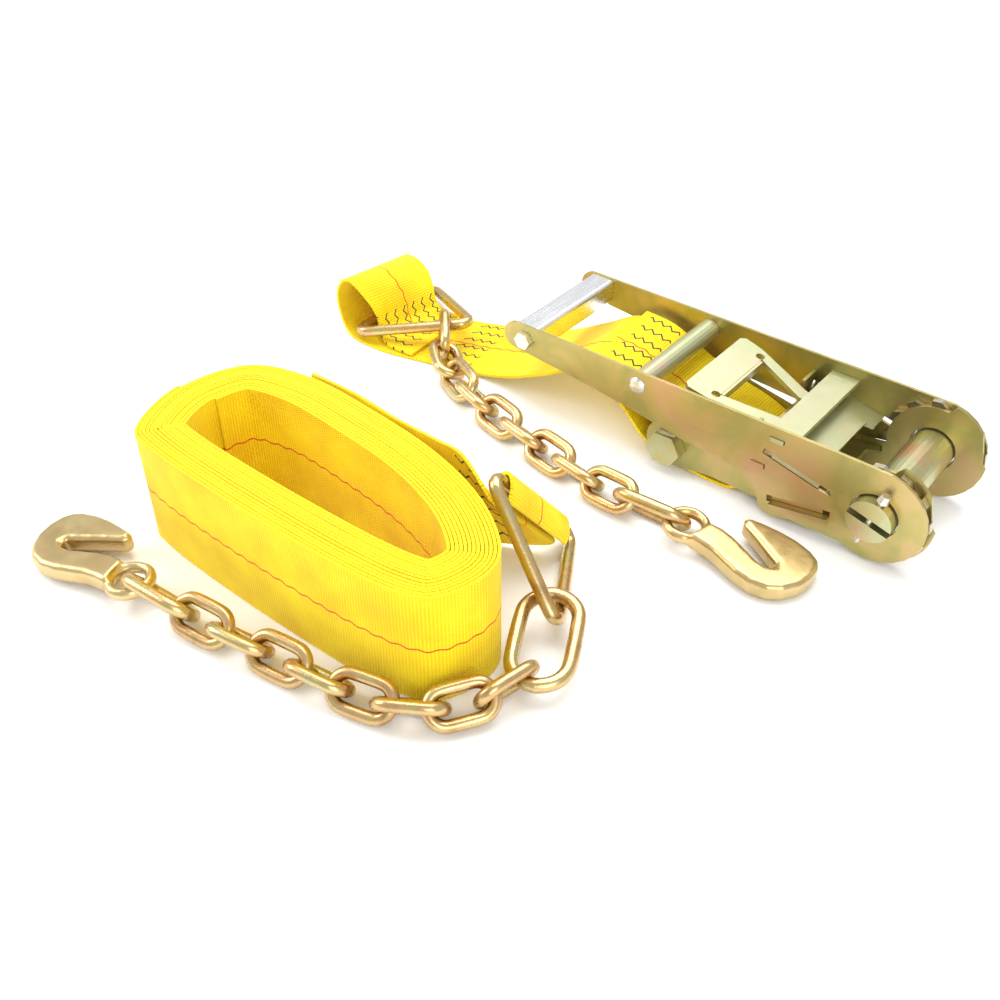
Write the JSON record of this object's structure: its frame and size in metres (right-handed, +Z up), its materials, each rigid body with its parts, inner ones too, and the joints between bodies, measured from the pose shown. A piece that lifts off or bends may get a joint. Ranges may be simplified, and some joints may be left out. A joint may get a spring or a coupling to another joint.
{
  "type": "load binder chain",
  "caption": "Ratchet tie-down strap set with a long-handle ratchet, a wound webbing strap, delta rings, short anchor chains and eye grab hooks.",
  "frame": {"origin": "centre of the footprint at the surface the set lies on", "axes": "+X towards the ratchet’s barrel end, +Y from the strap coil to the ratchet, +Z up"},
  "size_m": [0.65, 0.57, 0.1022],
  "materials": {
    "yellow_zinc": "yellow zinc plated, satin",
    "chain_zinc": "yellow zinc plated, forged",
    "bolt_zinc": "yellow zinc plated, bright",
    "bright_zinc": "bright zinc",
    "grip_aluminium": "brushed",
    "yellow_webbing": "woven"
  },
  "bodies": {
    "ratchet_frame": {"frame_side_near": "yellow_zinc", "frame_side_far": "yellow_zinc", "frame_cross_plate": "yellow_zinc", "frame_bolt": "bolt_zinc", "frame_nut": "bolt_zinc", "short_strap": "yellow_webbing", "frame_pawl_spring": "bright_zinc", "strap_coil": "yellow_webbing", "strap_lead": "yellow_webbing"},
    "handle": {"handle_side_near": "yellow_zinc", "handle_side_far": "yellow_zinc", "grip_tube": "grip_aluminium", "grip_bolt_near": "bright_zinc", "grip_bolt_far": "bright_zinc", "spacer_tube": "yellow_zinc", "spacer_rivet": "bright_zinc", "handle_cross_plate": "yellow_zinc", "handle_spring_plate": "yellow_zinc", "handle_pawl_spring_near": "bright_zinc", "handle_pawl_spring_far": "bright_zinc"},
    "mandrel": {"mandrel_half_upper": "yellow_zinc", "mandrel_half_lower": "yellow_zinc", "ratchet_wheel_near": "bolt_zinc", "ratchet_wheel_far": "bolt_zinc", "split_pin_near": "bright_zinc", "split_pin_far": "bright_zinc"},
    "handle_release_pawl": {"handle_pawl": "yellow_zinc"},
    "frame_locking_pawl": {"frame_pawl": "yellow_zinc"},
    "ratchet_ring": {"ratchet_ring": "chain_zinc"},
    "ratchet_chain_link_1": {"ratchet_chain_link_1": "chain_zinc"},
    "ratchet_chain_link_2": {"ratchet_chain_link_2": "chain_zinc"},
    "ratchet_chain_link_3": {"ratchet_chain_link_3": "chain_zinc"},
    "ratchet_chain_link_4": {"ratchet_chain_link_4": "chain_zinc"},
    "ratchet_chain_link_5": {"ratchet_chain_link_5": "chain_zinc"},
    "ratchet_chain_link_6": {"ratchet_chain_link_6": "chain_zinc"},
    "ratchet_chain_link_7": {"ratchet_chain_link_7": "chain_zinc"},
    "ratchet_chain_link_8": {"ratchet_chain_link_8": "chain_zinc"},
    "ratchet_chain_link_9": {"ratchet_chain_link_9": "chain_zinc"},
    "ratchet_connecting_link": {"ratchet_connecting_link": "chain_zinc"},
    "ratchet_grab_hook": {"ratchet_grab_hook": "chain_zinc"},
    "strap_ring": {"strap_ring": "chain_zinc"},
    "strap_master_link": {"strap_master_link": "chain_zinc"},
    "strap_chain_link_1": {"strap_chain_link_1": "chain_zinc"},
    "strap_chain_link_2": {"strap_chain_link_2": "chain_zinc"},
    "strap_chain_link_3": {"strap_chain_link_3": "chain_zinc"},
    "strap_chain_link_4": {"strap_chain_link_4": "chain_zinc"},
    "strap_chain_link_5": {"strap_chain_link_5": "chain_zinc"},
    "strap_chain_link_6": {"strap_chain_link_6": "chain_zinc"},
    "strap_chain_link_7": {"strap_chain_link_7": "chain_zinc"},
    "strap_chain_link_8": {"strap_chain_link_8": "chain_zinc"},
    "strap_connecting_link": {"strap_connecting_link": "chain_zinc"},
    "strap_grab_hook": {"strap_grab_hook": "chain_zinc"}
  },
  "joints": [
    {"name": "handle_swing", "type": "hinge", "parent": "ratchet_frame", "child": "handle", "pos_m": [0.2785, 0.2105, 0.047], "axis": [0, 1, 0], "range_deg": [0, 90]},
    {"name": "mandrel_spin", "type": "hinge", "parent": "ratchet_frame", "child": "mandrel", "pos_m": [0.2785, 0.2105, 0.047], "axis": [0, 1, 0], "continuous": true},
    {"name": "handle_pawl_pull", "type": "slide", "parent": "handle", "child": "handle_release_pawl", "axis": [-0.9724, 0, 0.2334], "range_m": [0, 0.008], "stiffness_N_per_m": 400, "deforming": ["handle_pawl_spring_near", "handle_pawl_spring_far"]},
    {"name": "frame_pawl_pull", "type": "slide", "parent": "ratchet_frame", "child": "frame_locking_pawl", "axis": [-0.9848, 0, -0.1736], "range_m": [0, 0.006], "stiffness_N_per_m": 400, "deforming": ["frame_pawl_spring"]},
    {"name": "ratchet_ring_swing", "type": "hinge", "parent": "ratchet_frame", "child": "ratchet_ring", "pos_m": [-0.28291, 0.19411, 0.01192], "axis": [-0.0141, 0.9996, -0.0252], "range_deg": [-8, 0]},
    {"name": "ratchet_chain_link_1_swing", "type": "hinge", "parent": "ratchet_ring", "child": "ratchet_chain_link_1", "pos_m": [-0.20001, 0.18004, 0.02859], "axis": [0.8425, 0.516, 0.1546], "range_deg": [-8, 0]},
    {"name": "ratchet_chain_link_2_swing", "type": "hinge", "parent": "ratchet_chain_link_1", "child": "ratchet_chain_link_2", "pos_m": [-0.17742, 0.15405, 0.0174], "axis": [-0.2837, 0.1671, -0.9442], "range_deg": [-4, 8]},
    {"name": "ratchet_chain_link_3_swing", "type": "hinge", "parent": "ratchet_chain_link_2", "child": "ratchet_chain_link_3", "pos_m": [-0.14764, 0.13285, 0.0145], "axis": [-0.4701, -0.8059, 0.36], "range_deg": [-8, 8]},
    {"name": "ratchet_chain_link_4_swing", "type": "hinge", "parent": "ratchet_chain_link_3", "child": "ratchet_chain_link_4", "pos_m": [-0.11408, 0.11818, 0.0154], "axis": [0.2821, 0.6068, 0.7431], "range_deg": [-8, 8]},
    {"name": "ratchet_chain_link_5_swing", "type": "hinge", "parent": "ratchet_chain_link_4", "child": "ratchet_chain_link_5", "pos_m": [-0.07931, 0.10687, 0.0147], "axis": [0.2316, 0.7062, -0.669], "range_deg": [-8, 8]},
    {"name": "ratchet_chain_link_6_swing", "type": "hinge", "parent": "ratchet_chain_link_5", "child": "ratchet_chain_link_6", "pos_m": [-0.0437, 0.09854, 0.0147], "axis": [-0.1727, -0.6857, -0.7071], "range_deg": [-8, 8]},
    {"name": "ratchet_chain_link_7_swing", "type": "hinge", "parent": "ratchet_chain_link_6", "child": "ratchet_chain_link_7", "pos_m": [-0.00798, 0.09079, 0.0147], "axis": [-0.1528, -0.6904, 0.7071], "range_deg": [-8, 8]},
    {"name": "ratchet_chain_link_8_swing", "type": "hinge", "parent": "ratchet_chain_link_7", "child": "ratchet_chain_link_8", "pos_m": [0.02793, 0.08397, 0.0147], "axis": [0.135, 0.6941, 0.7071], "range_deg": [-8, 8]},
    {"name": "ratchet_chain_link_9_swing", "type": "hinge", "parent": "ratchet_chain_link_8", "child": "ratchet_chain_link_9", "pos_m": [0.06387, 0.07736, 0.0154], "axis": [0.1403, 0.6932, -0.707], "range_deg": [-8, 8]},
    {"name": "ratchet_connecting_link_swing", "type": "hinge", "parent": "ratchet_chain_link_9", "child": "ratchet_connecting_link", "pos_m": [0.10033, 0.0755, 0.0176], "axis": [-0.0158, -0.7439, -0.6682], "range_deg": [-8, 8]},
    {"name": "ratchet_grab_hook_swing", "type": "hinge", "parent": "ratchet_connecting_link", "child": "ratchet_grab_hook", "pos_m": [0.15089, 0.07793, 0.0184], "axis": [-0.0785, 0.0196, -0.9967], "range_deg": [-8, 8]},
    {"name": "strap_ring_swing", "type": "hinge", "parent": "ratchet_frame", "child": "strap_ring", "pos_m": [0.06481, -0.01714, 0.05406], "axis": [-0.2, -0.597, 0.7769], "range_deg": [-1, 8]},
    {"name": "strap_master_link_swing", "type": "hinge", "parent": "strap_ring", "child": "strap_master_link", "pos_m": [0.13669, -0.0816, 0.02304], "axis": [-0.2, -0.597, 0.7769], "range_deg": [-3, 1]},
    {"name": "strap_chain_link_1_swing", "type": "hinge", "parent": "strap_master_link", "child": "strap_chain_link_1", "pos_m": [0.14901, -0.14072, 0.01573], "axis": [-0.9912, 0.1204, 0.054], "range_deg": [0, 8]},
    {"name": "strap_chain_link_2_swing", "type": "hinge", "parent": "strap_chain_link_1", "child": "strap_chain_link_2", "pos_m": [0.14146, -0.17552, 0.01673], "axis": [-0.3651, 0.2203, -0.9045], "range_deg": [-8, 4]},
    {"name": "strap_chain_link_3_swing", "type": "hinge", "parent": "strap_chain_link_2", "child": "strap_chain_link_3", "pos_m": [0.11744, -0.20326, 0.01783], "axis": [0.4953, -0.595, -0.633], "range_deg": [-8, 8]},
    {"name": "strap_chain_link_4_swing", "type": "hinge", "parent": "strap_chain_link_3", "child": "strap_chain_link_4", "pos_m": [0.08495, -0.22016, 0.0149], "axis": [0.3149, -0.6203, 0.7184], "range_deg": [-6, 8]},
    {"name": "strap_chain_link_5_swing", "type": "hinge", "parent": "strap_chain_link_4", "child": "strap_chain_link_5", "pos_m": [0.04896, -0.2274, 0.0147], "axis": [-0.1823, 0.6959, 0.6946], "range_deg": [-8, 8]},
    {"name": "strap_chain_link_6_swing", "type": "hinge", "parent": "strap_chain_link_5", "child": "strap_chain_link_6", "pos_m": [0.01266, -0.23186, 0.0147], "axis": [-0.0972, 0.7004, -0.7071], "range_deg": [-8, 8]},
    {"name": "strap_chain_link_7_swing", "type": "hinge", "parent": "strap_chain_link_6", "child": "strap_chain_link_7", "pos_m": [-0.02354, -0.23694, 0.0147], "axis": [0.0986, -0.7002, -0.7071], "range_deg": [-8, 8]},
    {"name": "strap_chain_link_8_swing", "type": "hinge", "parent": "strap_chain_link_7", "child": "strap_chain_link_8", "pos_m": [-0.05962, -0.24277, 0.0154], "axis": [0.1221, -0.6966, 0.707], "range_deg": [-8, 8]},
    {"name": "strap_connecting_link_swing", "type": "hinge", "parent": "strap_chain_link_8", "child": "strap_connecting_link", "pos_m": [-0.09576, -0.24774, 0.0176], "axis": [-0.0677, 0.7409, 0.6682], "range_deg": [-8, 8]},
    {"name": "strap_grab_hook_swing", "type": "hinge", "parent": "strap_connecting_link", "child": "strap_grab_hook", "pos_m": [-0.14627, -0.25083, 0.0184], "axis": [-0.077, -0.025, 0.9967], "range_deg": [-8, 8]}
  ]
}
